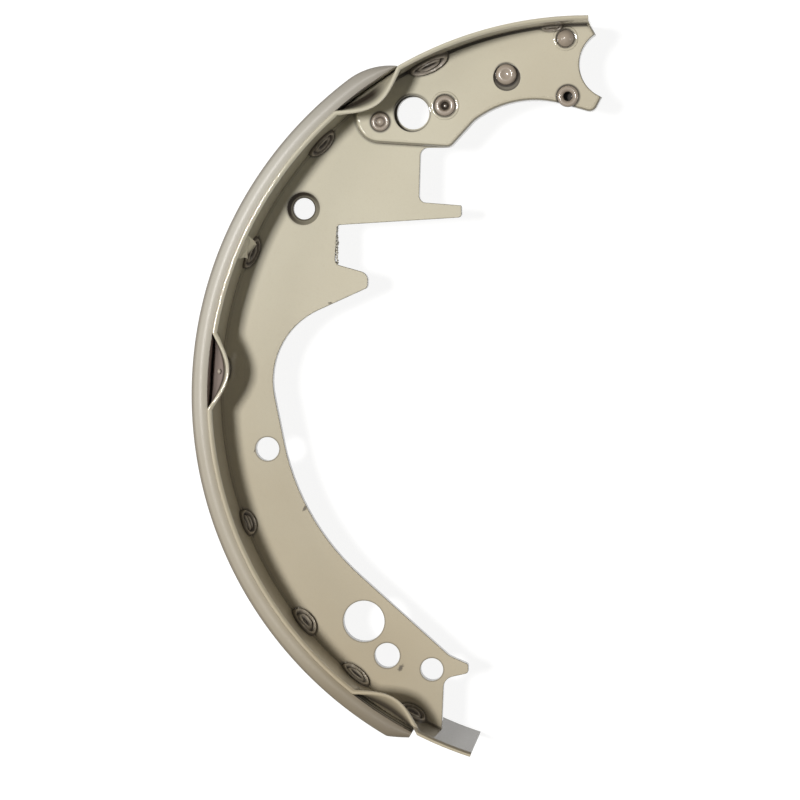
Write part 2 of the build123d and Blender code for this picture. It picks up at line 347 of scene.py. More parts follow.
def colour_mix(wire, share, first, second):
    """Colour that goes from the first to the second with the share."""
    settings = {"data_type": "RGBA"}
    return wire.node("ShaderNodeMix", settings, {0: share, 6: first, 7: second}, 2)


def new_shader(name):
    """Empty material and the wire of its tree."""
    material = bpy.data.materials.new(name)
    material.use_nodes = True
    material.node_tree.nodes.clear()
    return material, Wire(material.node_tree)


def middle_of(node):
    """Middle of a node's box."""
    low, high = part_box(node)
    return (Vector(low) + Vector(high)) / 2


def ring_table():
    """Centre, radius, width, strength and lean to the upper left of each ring of painted shade."""
    rings = []
    gap, width, strength, lean = RIVET_RING
    for name, (head_radius, _) in RIVETS.items():
        middle = middle_of(name)
        radius = (head_radius + gap) * MM
        rings.append(((middle.x, middle.y), radius, width * MM, strength, lean))
    for angle, depth, radius, width, strength, lean in HOLE_RINGS:
        reach = TABLE_INSIDE - depth * MM
        middle = (reach * cos(radians(angle)), reach * sin(radians(angle)))
        rings.append((middle, radius * MM, width * MM, strength, lean))
    return rings


def painted_ring_shade(wire, place):
    """Painted shade where the rivet heads meet the plate, where the holes drop away, and in the button
    rivet's recess.
    """
    x, y, z = place.parts()
    rings = []
    for (middle_x, middle_y), radius, width, strength, lean in ring_table():
        off_x, off_y = x - middle_x, y - middle_y
        reach = distance(off_x, off_y)
        upper_left = (off_y - off_x) / (reach + TINY) / sqrt(2)
        rings.append(reach.bell(radius, width) * strength * (1.0 - lean + upper_left * lean))
    over_rear = z > (WEB_LOW[2] + 0.5 * MM)
    button = middle_of("button_rivet")
    sunk = (z > (PLATE_LOW[2] + 1.0 * MM)) * (z < (PLATE_HIGH[2] - 0.1 * MM))
    sunk = sunk * (distance(x - button.x, y - button.y) < (SUNK_REACH * MM))
    return wire.math("ADD", highest(wire, rings) * over_rear, sunk * SUNK_SHADE, clamp=True)


def marks_on_paint(wire, place):
    """Small marks on the painted web: smudges at the inner edge and by the toe, and chips."""
    x, y, z = place.parts()
    ragged = (noise(wire, place, MARK_SCALE, 2.0) - 0.5) * MARK_RAGGED
    spots = []
    for mark_x, mark_y, wide, tall in MARKS:
        off_x, off_y = x - mark_x * MM, y - mark_y * MM
        across = (off_x - off_y * MARK_SLANT) / (wide * MM)
        reach = distance(across, off_y / (tall * MM)) + ragged
        spots.append(1.0 - reach.step(0.5, 1.2))
    return highest(wire, spots) * (z > (WEB_HIGH[2] - 0.2 * MM))


def crease_shade(wire, look, slot, place, stored):
    """The stored grime and painted shade, and the painted shade of the creases of steel, but not of
    those of the table.
    """
    grime_and_shade = wire.math("MINIMUM", stored, 1.0)
    if slot not in CREASED_SLOTS:
        return grime_and_shade
    crease_width, open_share, closed_share = 1.8 * MM, 0.9, 0.45
    inputs = {"Distance": crease_width}
    # Painted shade: darker where ambient occlusion finds a crease
    open_air = wire.node("ShaderNodeAmbientOcclusion", {"samples": 8}, inputs, "AO")
    clean = wire.math("SUBTRACT", 1.0, stored * 2.0, clamp=True)
    crease = open_air.step(open_share, closed_share) * look.crease_shade_strength * clean
    if slot == "painted_steel":
        x, y, _ = place.parts()
        crease = crease * (distance(x, y) < WEB_REACH)
    return wire.math("MAXIMUM", grime_and_shade, crease)


def lining_lines(wire, look, place, paint, light, dark):
    """The lining's glue line, bare beside the middle nib, and the dark seam under it."""
    x, y, z = place.parts()
    top = LINING_HIGH[2]
    bonded = distance(x, y) < (TABLE_OUTSIDE + 0.3 * MM)
    glue = bonded * z.step(*(top - depth * MM for depth in GLUE_LINE))
    ends = abs(y) > MIDDLE_STRETCH
    seam_depth, seam_width = LINING_SEAM
    dark_band = bonded * z.bell(top - seam_depth * MM, seam_width * MM) * ends
    paint = colour_mix(wire, glue * ends, paint, light)
    paint = colour_mix(wire, glue * (1.0 - ends), paint, (*look.primer, 1.0))
    return colour_mix(wire, dark_band, paint, dark)


def worn_steel(wire, look, place, rounded, stored, paint, dark):
    """Paint with bare pockets, marks, rings of painted shade, a painted highlight on edges, painted
    shade on the sides, the tail and the upper wall, and the share of its grey tail.
    """
    x, y, z = place.parts()
    on_web = distance(x, y) < WEB_REACH
    on_wall = (1.0 - on_web) * (distance(x, y) < (TABLE_OUTSIDE - 1.0 * MM))
    bare = wire.math("SUBTRACT", stored, 1.0, clamp=True) / (BARE_STEEL - 1.0)
    # Real marks, together with the rings of painted shade
    marks_and_ring_shade = highest(wire, (marks_on_paint(wire, place) * look.mark_shade, painted_ring_shade(wire, place)))
    facing = wire.node("ShaderNodeNewGeometry", None, None, "True Normal")
    settings = {"operation": "DOT_PRODUCT"}
    alike = wire.node("ShaderNodeVectorMath", settings, {0: facing, 1: rounded}, "Value")
    # Painted highlight: a light line on level faces along rounded edges, found from the bevelled normal
    level_limit, edge_gain = 0.85, 4.0
    level = abs(facing.parts()[2]) > level_limit
    edge = wire.math("MULTIPLY", (1.0 - alike) * on_web * level, edge_gain, clamp=True)
    # Painted shade on the steep sides of the web and the plate
    side = (1.0 - level) * on_web * (z < (PLATE_HIGH[2] + 0.1 * MM))
    # Painted shade on the table's tail beyond the web, standing in for its dimmer reflection
    tail = on_wall * (y < 0.0) * (x > TAIL_START)
    # Painted shadow on the upper wall where it meets the plate
    over_plate = z.step(*(PLATE_HIGH[2] + height * MM for height in WALL_SHADOW_END))
    dark_band = on_wall * y.step(*WALL_SHADOW_START) * over_plate * (z > (PLATE_HIGH[2] - 0.1 * MM))
    for share, colour in (
        (bare, (*look.primer, 1.0)),
        (marks_and_ring_shade, dark),
        (edge * look.edge_highlight, (*look.edge, 1.0)),
        (side * look.side_shade, dark),
        (tail * look.tail_shade, dark),
        (dark_band * look.wall_shadow, dark),
    ):
        paint = colour_mix(wire, share, paint, colour)
    return paint, tail


def satin_paint(slot, look, coat, skin, shades):
    """Satin paint with a glossy skin, darker and warmer towards the toe as painted shade, and darker
    with stored grime, stored painted shade and the painted shade of creases.
    """
    material, wire = new_shader(slot + "_finish")
    light, warm, dark = [(*shade, 1.0) for shade in shades]
    place = wire.node("ShaderNodeTexCoord", None, None, "Object")
    rounded = wire.node("ShaderNodeBevel", {"samples": 6}, {"Radius": 0.5 * MM})
    broad = noise(wire, place, BROAD_SCALE, 3.0)
    fine = noise(wire, place, GRAIN_SCALE, 3.0)
    peel = noise(wire, place, PEEL_SCALE, 1.0)
    stored = wire.node("ShaderNodeAttribute", {"attribute_name": "grime_and_shade"}, None, "Fac")
    grime_and_shade = crease_shade(wire, look, slot, place, stored)
    x, y, _ = place.parts()
    # Painted shade: darker and warmer towards the toe and the right, where the light falls off
    towards_toe = y.step(*DARKER_WARMER_DOWN) * SHADE_AND_WARMTH["down"] + x.step(*DARKER_WARMER_RIGHT) * SHADE_AND_WARMTH["right"]
    share = wire.math("ADD", towards_toe, (broad - 0.5) * SHADE_AND_WARMTH["broad"], clamp=True)
    paint = colour_mix(wire, share, light, warm)
    paint = colour_mix(wire, abs(fine - 0.5) * SHADE_AND_WARMTH["grain"], paint, warm)
    # Darker with the stored grime and painted shade, and with the painted shade of creases
    paint = colour_mix(wire, grime_and_shade, paint, dark)
    if slot == "lining":
        paint = lining_lines(wire, look, place, paint, light, dark)
    if slot == "painted_steel":
        paint, tail = worn_steel(wire, look, place, rounded, stored, paint, dark)
        coat = coat * (1.0 - tail * look.tail_matt)
    relief = {"Height": peel + fine * 0.3, "Strength": look.bump, "Distance": 0.2 * MM}
    inputs = {
        "Base Color": paint,
        "Roughness": look.roughness + (fine - 0.5) * ROUGHER["grain"] + grime_and_shade * ROUGHER["grime_and_shade"],
        "Coat Weight": coat,
        "Coat Roughness": skin,
        "Coat IOR": look.coat_ior,
        "Normal": wire.node("ShaderNodeBump", None, {**relief, "Normal": rounded}),
    }
    shader = wire.node("ShaderNodeBsdfPrincipled", None, inputs)
    wire.node("ShaderNodeOutputMaterial", None, {"Surface": shader})
    return material


def finish_of(slot):
    """The material of a slot, made once."""
    made = bpy.data.materials.get(slot + "_finish")
    if made:
        return made
    look = bpy.context.scene.shoe_look
    finishes = {
        "painted_steel": (look.coat, look.skin, look.paint, look.toe_paint_and_shade, look.grime_and_shade),
        "lining": (look.lining_coat, look.lining_skin, look.lining, look.toe_lining_and_shade, look.lining_grime_and_shade),
        # The burrs take the light colour of the painted edge highlight
        "burr": (look.coat, look.skin, look.edge, look.paint, look.grime_and_shade),
        "rivet_steel": (look.coat, look.metal_skin, look.steel, look.toe_steel, look.grime_and_shade),
        "weld_steel": (look.weld_coat, look.weld_skin, look.weld, look.toe_weld, look.grime_and_shade),
    }
    coat, skin, *shades = finishes[slot]
    return satin_paint(slot, look, coat, skin, shades)


def geometry_tree(name, sizes):
    """Geometry tree with named inputs for its sizes, and the wires of those inputs."""
    tree = bpy.data.node_groups.new(name, "GeometryNodeTree")
    face = tree.interface
    face.new_socket("Geometry", in_out="INPUT", socket_type="NodeSocketGeometry")
    face.new_socket("Geometry", in_out="OUTPUT", socket_type="NodeSocketGeometry")
    for label, value in sizes.items():
        kind = "NodeSocketInt" if isinstance(value, int) else "NodeSocketFloat"
        face.new_socket(label, in_out="INPUT", socket_type=kind).default_value = value
    face.new_socket("Material", in_out="INPUT", socket_type="NodeSocketMaterial")
    wire = Wire(tree)
    inlet = tree.nodes.new("NodeGroupInput")
    given = {socket.name: Wire(tree, socket) for socket in inlet.outputs if socket.name}
    return tree, wire, given


def unit_grid(wire, columns, rows):
    """Flat grid one metre wide and deep, where a point's place tells its column and its row."""
    inputs = {"Size X": 1.0, "Size Y": 1.0, "Vertices X": columns, "Vertices Y": rows}
    return wire.node("GeometryNodeMeshGrid", None, inputs)


def close_tree(wire, given, shape):
    """Realizes the shape, sets its material and ends the tree."""
    shape = wire.node("GeometryNodeRealizeInstances", None, {"Geometry": shape})
    inputs = {"Geometry": shape, "Material": given["Material"]}
    shape = wire.node("GeometryNodeSetMaterial", None, inputs)
    wire.node("NodeGroupOutput", None, {"Geometry": shape})


def close_grid(wire, given, grid, place, grime_and_shade):
    """Stores the grime and painted shade of a grid, moves its points, merges those that meet and ends
    the tree.
    """
    settings = {"data_type": "FLOAT", "domain": "POINT"}
    inputs = {"Geometry": grid, "Name": "grime_and_shade", "Value": grime_and_shade}
    shape = wire.node("GeometryNodeStoreNamedAttribute", settings, inputs)
    shape = wire.node("GeometryNodeSetPosition", None, {"Geometry": shape, "Position": place})
    shape = wire.node("GeometryNodeMergeByDistance", None, {"Geometry": shape, "Distance": TINY})
    close_tree(wire, given, shape)


def add_object(name, data):
    """New object in the scene."""
    made = bpy.data.objects.new(name, data)
    bpy.context.scene.collection.objects.link(made)
    return made


def grow(name, tree, start_mesh, values):
    """Runs a geometry tree on a start mesh and returns the result as an object with a plain mesh."""
    holder = add_object(name + "_start", start_mesh)
    modifier = holder.modifiers.new("grow", "NODES")
    modifier.node_group = tree
    sockets = {s.name: s.identifier for s in tree.interface.items_tree if s.in_out == "INPUT"}
    for label, value in values.items():
        modifier[sockets[label]] = value
    graph = bpy.context.evaluated_depsgraph_get()
    graph.update()
    mesh = bpy.data.meshes.new_from_object(holder.evaluated_get(graph))
    bpy.data.objects.remove(holder)
    mesh.name = name
    shell = bmesh.new()
    shell.from_mesh(mesh)
    bmesh.ops.dissolve_degenerate(shell, dist=1e-7, edges=shell.edges)
    bmesh.ops.recalc_face_normals(shell, faces=shell.faces)
    shell.to_mesh(mesh)
    shell.free()
    mesh.shade_smooth()
    mesh.set_sharp_from_angle(angle=radians(40))
    return add_object(name, mesh)


def slot_of(node):
    """Slot of a node in the record."""
    return next(sub["material_slot"] for sub in frame["record"]["subparts"] if sub["node"] == node)


def stand_for(piece, node):
    """The piece rides on the shoe and stands for a node, which is hidden."""
    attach(piece, "root")
    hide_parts(node)


def add_detail(piece):
    """The piece rides on the shoe."""
    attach(piece, "root")


def detail_of(name, shell, slot):
    """Turns a given shell into a piece that rides on the shoe, and returns its mesh."""
    mesh = bpy.data.meshes.new(name)
    shell.to_mesh(mesh)
    shell.free()
    mesh.materials.append(finish_of(slot))
    add_detail(add_object(name, mesh))
    return mesh


def outline_mesh(name, points, grime_and_shade):
    """Mesh of loose points, radius along X and height along Z, with the grime and painted shade of each
    point.
    """
    mesh = bpy.data.meshes.new(name)
    mesh.from_pydata([(radius, 0.0, height) for radius, height in points], [], [])
    layer = mesh.attributes.new("grime_and_shade", "FLOAT", "POINT")
    layer.data.foreach_set("value", grime_and_shade)
    return mesh


def spun_tree(name, sizes, bend):
    """Tree that spins an outline about +Z, from a start angle over a sweep, and bends it by a rule."""
    sizes = {"Columns": 64, "Start": 0.0, "Sweep": tau, "Caps": 0.0, **sizes}
    tree, wire, given = geometry_tree(name, sizes)
    outline = given["Geometry"]
    counted = {"Geometry": outline}
    count = wire.node("GeometryNodeAttributeDomainSize", {"component": "MESH"}, counted, "Point Count")
    grid = unit_grid(wire, given["Columns"], count + 1.0)
    spot = wire.node("GeometryNodeInputPosition")
    across, along, _ = spot.parts()
    last = given["Columns"] - 1.0
    column = wire.math("ROUND", (across + 0.5) * last)
    row = wire.math("FLOORED_MODULO", wire.math("ROUND", (along + 0.5) * count), count)

    def sampled(field, kind):
        settings = {"data_type": kind, "domain": "POINT"}
        inputs = {"Geometry": outline, "Value": field, "Index": row}
        return wire.node("GeometryNodeSampleIndex", settings, inputs)

    corner = sampled(spot, "FLOAT_VECTOR").parts()
    stored = {"Name": "grime_and_shade"}
    grime_and_shade = wire.node("GeometryNodeInputNamedAttribute", {"data_type": "FLOAT"}, stored)
    grime_and_shade = sampled(grime_and_shade, "FLOAT")
    low = wire.node("GeometryNodeBoundBox", None, {"Geometry": outline}, "Min").parts()
    high = wire.node("GeometryNodeBoundBox", None, {"Geometry": outline}, "Max").parts()
    caps = given["Caps"]
    at_cap = ((column < 0.5) + (column > (last - 0.5))) * caps
    radius = corner[0] + at_cap * ((low[0] + high[0]) / 2 - corner[0])
    height = corner[2] + at_cap * ((low[2] + high[2]) / 2 - corner[2])
    share = wire.math("DIVIDE", column - caps, last - caps * 2, clamp=True)
    angle = given["Start"] + given["Sweep"] * share
    angle, radius, height, tint = bend(wire, given, angle, radius, height)
    place = wire.joined(radius * angle.cosine(), radius * angle.sine(), height)
    close_grid(wire, given, grid, place, wire.math("MAXIMUM", grime_and_shade, tint))
    return tree


def roll(name, node, bend, values, span, points, grime_and_shade):
    """Spins an outline over a span, bent by a rule, and lets it stand for a node."""
    columns, start, end = span
    tree = spun_tree(name, values, bend)
    turn = {"Columns": columns, "Start": start, "Sweep": end - start, "Caps": 1.0}
    finish = {"Material": finish_of(slot_of(node))}
    outline = outline_mesh(name + "_outline", points, grime_and_shade)
    stand_for(grow(name, tree, outline, {**values, **turn, **finish}), node)


def pocket_shade(number, drop, across):
    """Painted shade in the pockets of the top and bottom nibs, and bare steel in the middle one's, by
    the depth under the rim and the place from -1 to 1 across it.
    """
    if number == 1:
        below_rim = drop.step(1.7 * MM, 2.3 * MM) * drop.step(9.0 * MM, 7.0 * MM)
        return below_rim * across.step(-0.7, 0.0)
    if number == 2:
        return drop.step(0.1 * MM, 0.6 * MM) * BARE_STEEL
    return drop.bell(5.5 * MM, 3.0 * MM)


def nib_bend(wire, given, angle, radius, height):
    """Presses the nibs: the wall arches inwards as half a cosine wave and keeps its thickness."""
    inset = given["Outer radius"] - radius
    half = given["Nib width"] / 2 / given["Outer radius"]
    depth = given["Nib depth"]
    climb = wire.math("DIVIDE", height - given["Width"] + depth, depth, clamp=True)
    share = climb ** given["Nib fade"]
    steepness = share * given["Nib rise"] * pi / given["Nib width"]
    mitre = inset * ((1.0 + steepness * steepness).root() - 1.0) / (steepness + TINY)
    kink = half + mitre / given["Outer radius"]
    drop = given["Width"] - height
    outside = (inset < 0.1 * MM) * (drop < depth)
    tint = 0.0
    for number in (1, 2, 3):
        off = angle - given[f"Nib {number}"]
        share_off = wire.math("MINIMUM", wire.math("MAXIMUM", off / half, -1.0), 1.0)
        part = share_off * (pi / 2)
        slope = steepness * part.sine()
        run = (1.0 + slope * slope).root()
        shifted = off + inset * slope / run / given["Outer radius"]
        arched = (abs(off) < half) * (abs(shifted) < kink)
        dip = share * given["Nib rise"] * part.cosine()
        pushed = given["Outer radius"] - dip - inset / run
        near = abs(off) < kink
        kept = wire.math("SIGN", off) * wire.math("MAXIMUM", abs(off), kink * near)
        radius = radius + arched * (pushed - radius)
        angle = given[f"Nib {number}"] + kept + arched * (shifted - kept)
        # Painted shade in the pockets of the top and bottom nibs, bare steel in the middle one's
        tint = outside * arched * pocket_shade(number, drop, share_off) + tint
    return angle, radius, height, tint


def thinned_bend(wire, given, angle, radius, height):
    """Thins the lining to a round or straight slope at each end."""
    inner = given["Inner radius"]
    thickness = given["Thickness"]
    share = 1.0
    for end in LINING_SLOPES:
        off = angle - given[end + " centre angle"]
        reach = given[end + " centre distance"]
        side = reach * off.sine()
        arc = given[end + " arc"]
        slope = reach * off.cosine() + (arc * arc - side * side).root()
        here = wire.math("DIVIDE", slope - inner, thickness, clamp=True)
        past = abs(off - given[end + " middle"]) > given[end + " half"]
        share = wire.math("MAXIMUM", here, past) * share
    # Painted shade: the lining darkens towards both ends, and more at the toe
    middle = given["Start"] + given["Sweep"] / 2
    off = abs(angle - middle) / given["Sweep"] * 2.0
    tint = off.step(0.55, 1.02) * (0.42 + (angle > middle) * 0.16)
    return angle, inner + (radius - inner) * share, height, tint


def plain_bend(wire, given, angle, radius, height):
    """Leaves the outline as it is."""
    return angle, radius, height, 0.0


def bead_tree():
    """Tree of one weld bead in the corner of the table and the face under it."""
    sizes = {
        "Columns": 61,
        "Face rows": 27,
        "Angle": 0.0,
        "Length": 0.012,
        "Leg": 0.0035,
        "Climb": 2.5,
        "Wall radius": 0.1467,
        "Base": 0.0325,
        "Side": 1.0,
        "Bulge": 0.30,
        "Rim": 0.40,
        "Groove": 0.34,
        "Mound": 0.16,
        "Slit": 0.30,
        "Ripple": 0.10,
        "Stripes": 0.0,
        "Seed": 0,
    }
    tree, wire, given = geometry_tree("weld_bead", sizes)
    rows = given["Face rows"]
    grid = unit_grid(wire, given["Columns"], rows + 2.0)
    across, along, _ = wire.node("GeometryNodeInputPosition").parts()
    row = wire.math("ROUND", (along + 0.5) * (rows + 1.0))
    row = row * (row < (rows + 0.5))
    corner = row > (rows - 0.5)
    length = (across * pi).sine()
    wide = (1.0 - length * length).root()
    turn = wire.math("MINIMUM", row / (rows - 1.0), 1.0) * 2.0 - 1.0
    cross = turn * wide
    reach = distance(length, cross)

    def noise_of_bead(layer, scale):
        """Noise round 0 over the bead, another one for each seed and layer."""
        spot = wire.joined(length, cross, layer)
        inputs = {"Vector": spot, "W": given["Seed"] * 1.37, "Scale": scale, "Detail": 2.0}
        return wire.node("ShaderNodeTexNoise", {"noise_dimensions": "4D"}, inputs) - 0.5

    wobble = noise_of_bead(0.0, 2.2)
    grain = noise_of_bead(5.0, 9.0)
    # The bands wobble, but the bead's edge doesn't
    bent = reach + wobble * 0.22 * reach.step(1.0, 0.8)
    slit_off = (length * 0.55 + wobble * 0.5) * (length * 0.55) + cross * cross
    slit = slit_off.root().bell(0.12, 0.16)
    stripes = (cross * 2.3 * tau + wobble * 3.0).sine() * bent.step(0.72, 0.6)
    rim, groove, mound = [bent.bell(*band) for band in BEAD_BANDS]
    plain = 1.0 - given["Stripes"]
    dome = (1.0 - reach * reach).root()
    lift = (
        given["Bulge"] * dome
        + given["Rim"] * rim
        - given["Groove"] * groove
        + given["Mound"] * mound * plain
        - given["Slit"] * slit * plain
        + given["Ripple"] * stripes * given["Stripes"]
        + grain * 0.05
    ) * reach.step(1.0, 0.9)
    # The rows climb from the base to the wall, and the last one lies sunk in the corner behind them
    raised = lift * given["Leg"] / 2
    foot = given["Leg"] * wide
    sunk = corner * (-0.05 * MM)
    from_wall = (foot * (1.0 - turn) / 2 + raised) * (1.0 - corner) + sunk
    over_base = (foot * given["Climb"] * (1.0 + turn) / 2 + raised) * (1.0 - corner) + sunk
    angle = given["Angle"] + length * given["Length"] / 2 / given["Wall radius"]
    radius = given["Wall radius"] - from_wall
    height = given["Base"] + given["Side"] * over_base
    place = wire.joined(radius * angle.cosine(), radius * angle.sine(), height)
    # Painted shade on the bead's outline, in its groove and slit, and in the troughs of its streaks
    dark = bent.step(0.84, 0.95) * 0.8 + groove * 0.8 + slit * plain
    trough_shade = (0.5 - stripes * 0.5) * given["Stripes"] * bent.step(0.7, 0.6) * 0.9
    close_grid(wire, given, grid, place, wire.math("ADD", dark, trough_shade, clamp=True))
    return tree


def arc_points(first, middle, last, steps):
    """Points along the arc through three points."""
    (ax, ay), (bx, by), (cx, cy) = first, middle, last
    d = 2 * (ax * (by - cy) + bx * (cy - ay) + cx * (ay - by))
    a, b, c = ax * ax + ay * ay, bx * bx + by * by, cx * cx + cy * cy
    ox = (a * (by - cy) + b * (cy - ay) + c * (ay - by)) / d
    oy = (a * (cx - bx) + b * (ax - cx) + c * (bx - ax)) / d
    start = atan2(ay - oy, ax - ox)
    turn = (atan2(cy - oy, cx - ox) - start) % tau
    part = (atan2(by - oy, bx - ox) - start) % tau
    if part > turn:
        turn -= tau
    radius = hypot(ax - ox, ay - oy)
    return [
        (ox + radius * cos(start + turn * s / steps), oy + radius * sin(start + turn * s / steps))
        for s in range(steps + 1)
    ]


def colour_prop(name, text, value):
    """Colour property with its default given in sRGB hex."""
    return bpy.props.FloatVectorProperty(
        name=name, description=text, subtype="COLOR", size=3, min=0, max=1, default=linear(value)
    )


def linear(colour):
    """Linear colour of a hex string in sRGB."""
    values = [int(colour[place : place + 2], 16) / 255 for place in (0, 2, 4)]
    return [v / 12.92 if v <= 0.04045 else ((v + 0.055) / 1.055) ** 2.4 for v in values]


def share_prop(name, text, value):
    """Number from 0 to 1."""
    return bpy.props.FloatProperty(
        name=name, description=text, subtype="FACTOR", min=0, max=1, default=value
    )


def length_prop(name, text, value):
    """Length, with its default given in millimetres."""
    return bpy.props.FloatProperty(
        name=name, description=text, unit="LENGTH", subtype="DISTANCE", default=value * MM
    )


def angle_prop(name, text, value):
    """Angle, with its default given in degrees."""
    return bpy.props.FloatProperty(
        name=name, description=text, subtype="ANGLE", default=radians(value)
    )


class ShoeLook(bpy.types.PropertyGroup):
    """Colours and gloss of the paint, and the strength of its shades."""

    paint: colour_prop("Paint", "Paint at the horn", "D8D2BC")
    # Darker than the paint at the horn: painted shade of the light falling off towards the toe, with a
    # warmer tone
    toe_paint_and_shade: colour_prop("Paint at the toe", "Paint at the toe", "BFB195")
    lining: colour_prop("Lining", "Lining at the horn", "CBC7BC")
    # Darker than the lining at the horn: painted shade of the light falling off towards the toe
    toe_lining_and_shade: colour_prop("Lining at the toe", "Lining at the toe", "A79B83")
    # Painted shade on the rounded outer edge of the lining's sides, and grime on its bonded and
    # friction faces
    lining_grime_and_shade: colour_prop("Lining grime", "Outer edge of the lining's sides", "5A4D40")
    steel: colour_prop("Rivet paint", "Paint over the rivets", "ADA092")
    # A little darker than at the horn: painted shade towards the toe
    toe_steel: colour_prop("Rivet paint at the toe", "The same at the toe", "A89A88")
    weld: colour_prop("Weld paint", "Paint over the welds at the horn", "C0B6A9")
    toe_weld: colour_prop("Weld paint at the toe", "The same at the toe", "C2B6A0")
    primer: colour_prop("Bare pocket", "Unpainted steel in the middle nib's pocket", "A3958D")
    # Painted highlight: light colour laid along rounded and sheared edges, also the colour of the burrs
    edge: colour_prop("Rolled edge", "Light line along rolled and sheared edges", "F1ECDC")
    # Colour of grime, and of the painted shade in corners, creases, recesses, pockets and on shaded
    # sides
    grime_and_shade: colour_prop("Grime", "Colour in corners and recesses", "33291F")
    roughness: share_prop("Roughness", "Roughness of the paint", 0.58)
    coat: share_prop("Gloss", "Weight of the glossy skin", 1.0)
    lining_coat: share_prop("Lining gloss", "Weight of the skin on the lining", 0.25)
    weld_coat: share_prop("Weld gloss", "Weight of the skin on the welds", 0.5)
    skin: share_prop("Skin roughness", "Roughness of the glossy skin", 0.06)
    lining_skin: share_prop("Lining skin roughness", "Roughness of the lining's skin", 0.3)
    metal_skin: share_prop("Rivet skin roughness", "Roughness of the skin on rivets", 0.14)
    weld_skin: share_prop("Weld skin roughness", "Roughness of the skin on welds", 0.24)
    coat_ior: bpy.props.FloatProperty(
        name="Skin index", description="Refractive index of the glossy skin", default=1.55, min=1
    )
    # Strength of the painted shade in the creases of the steel
    crease_shade_strength: share_prop("Cavity grime", "Strength of the grime in creases", 0.85)
    bump: share_prop("Orange peel", "Strength of the paint's fine waves", 0.02)
    mark_shade: share_prop("Marks", "Strength of the smudges and chips", 0.75)
    # Strength of the painted highlight along edges
    edge_highlight: share_prop("Edge light", "Strength of the light line on rolled edges", 0.8)
    side_shade: share_prop("Dark sides", "Shade on the sides of the web and the plate", 0.5)
    tail_shade: share_prop("Grey tail", "Shade on the table's tail", 0.6)
    tail_matt: share_prop("Matt tail", "Share of the gloss that the tail lacks", 0.5)
    # Painted shadow on the upper wall over the plate
    wall_shadow: share_prop("Dark seam", "Shade on the upper wall over the plate", 0.85)


class ShoeSizes(bpy.types.PropertyGroup):
    """Sizes of the detail."""

    wall: length_prop("Table wall", "Thickness of the table", TABLE_WALL)
    rim_slope: length_prop("Rim slope", "Height that the rim loses towards the inside", 0.7)
    table_start: angle_prop("Table start", "Angle of the horn's end", 89.35)
    table_end: angle_prop("Table end", "Angle of the toe's end", 252.4)
    nib_1: angle_prop("Top nib", "Angle of the top nib", 125.2)
    nib_2: angle_prop("Middle nib", "Angle of the middle nib", 176.0)
    nib_3: angle_prop("Bottom nib", "Angle of the bottom nib", 237.9)
    nib_width: length_prop("Nib width", "Width of a nib along the rim", 30.0)
    nib_rise: length_prop("Nib rise", "How far a nib is pressed in", 7.4)
    nib_depth: length_prop("Nib depth", "How far a nib runs down the wall", 12.0)
    lining_start: angle_prop("Lining start", "Angle of the lining's top end", 119.5)
    lining_end: angle_prop("Lining end", "Angle of the lining's bottom end", 242.8)
    lining_crown: length_prop("Lining crown", "Fall of the lining's side face", 1.5)
    bead_ripple: share_prop("Bead ripple", "Height of a bead's ripples over its throat", 0.10)


class SHOE_OT_paint(bpy.types.Operator):
    """Paint the web, the end plate and every other part that keeps its plain shape"""

    bl_idname = "shoe.paint"
    bl_label = "Paint the Shoe"

    def execute(self, context):
        for sub in frame["record"]["subparts"]:
            mesh = nodes[sub["node"]].data
            mesh.materials.clear()
            mesh.materials.append(finish_of(sub["material_slot"]))
        return {"FINISHED"}


class SHOE_OT_table(bpy.types.Operator):
    """Roll the table with its rounded rims and pressed nibs"""

    bl_idname = "shoe.table"
    bl_label = "Roll the Table"

    def execute(self, context):
        sizes = context.scene.shoe_sizes
        outer = TABLE_OUTSIDE - TABLE_GAP
        inner = outer - sizes.wall
        values = {
            "Outer radius": outer,
            "Width": TABLE_HIGH[2] - TABLE_GAP,
            "Nib width": sizes.nib_width,
            "Nib rise": sizes.nib_rise,
            "Nib depth": sizes.nib_depth,
            "Nib fade": 1.5,
            "Nib 1": sizes.nib_1,
            "Nib 2": sizes.nib_2,
            "Nib 3": sizes.nib_3,
        }
        points = self.outline(outer, inner, sizes.rim_slope)
        span = (TABLE_COLUMNS, sizes.table_start, sizes.table_end)
        clean = [0.0] * len(points)
        roll("rolled_table", "shoe_table", nib_bend, values, span, points, clean)
        return {"FINISHED"}

    def outline(self, outer, inner, fall):
        """Points round the strip: a rounded rim that falls inwards, and a chamfered foot."""
        low, high = TABLE_LOW[2] + TABLE_GAP, TABLE_HIGH[2] - TABLE_GAP
        chamfer = 0.3 * MM
        brow = (inner + 0.35 * MM, high - fall * 0.6)
        below = (inner, high - fall * 1.6)
        crown = arc_points((outer - 0.12 * MM, high - 0.12 * MM), (outer - 0.55 * MM, high), brow, 8)
        rounding = arc_points(brow, (inner + 0.1 * MM, high - fall), below, 4)
        skirt = [below[1] - drop * MM for drop in SKIRT_DROPS]
        rim = [(outer, high - chamfer)] + crown + rounding[1:]
        inside = [(inner, height) for height in skirt]
        foot = [(inner, low + chamfer), (inner + chamfer, low), (outer - chamfer, low)]
        outside = [(outer, low + chamfer)] + [(outer, height) for height in reversed(skirt)]
        return rim + inside + foot + outside


def slope_arc(first, last, bulge):
    """Centre distance, centre angle and radius of the arc between two points with a bulge."""
    chord = Vector(last) - Vector(first)
    radius = (chord.length**2 / 4 + bulge**2) / (2 * bulge)
    middle = (Vector(first) + Vector(last)) / 2
    outward = Vector((-chord.y, chord.x)).normalized()
    if outward.dot(middle) < 0:
        outward.negate()
    centre = middle - outward * (radius - bulge)
    return centre.length, atan2(centre.y, centre.x), radius


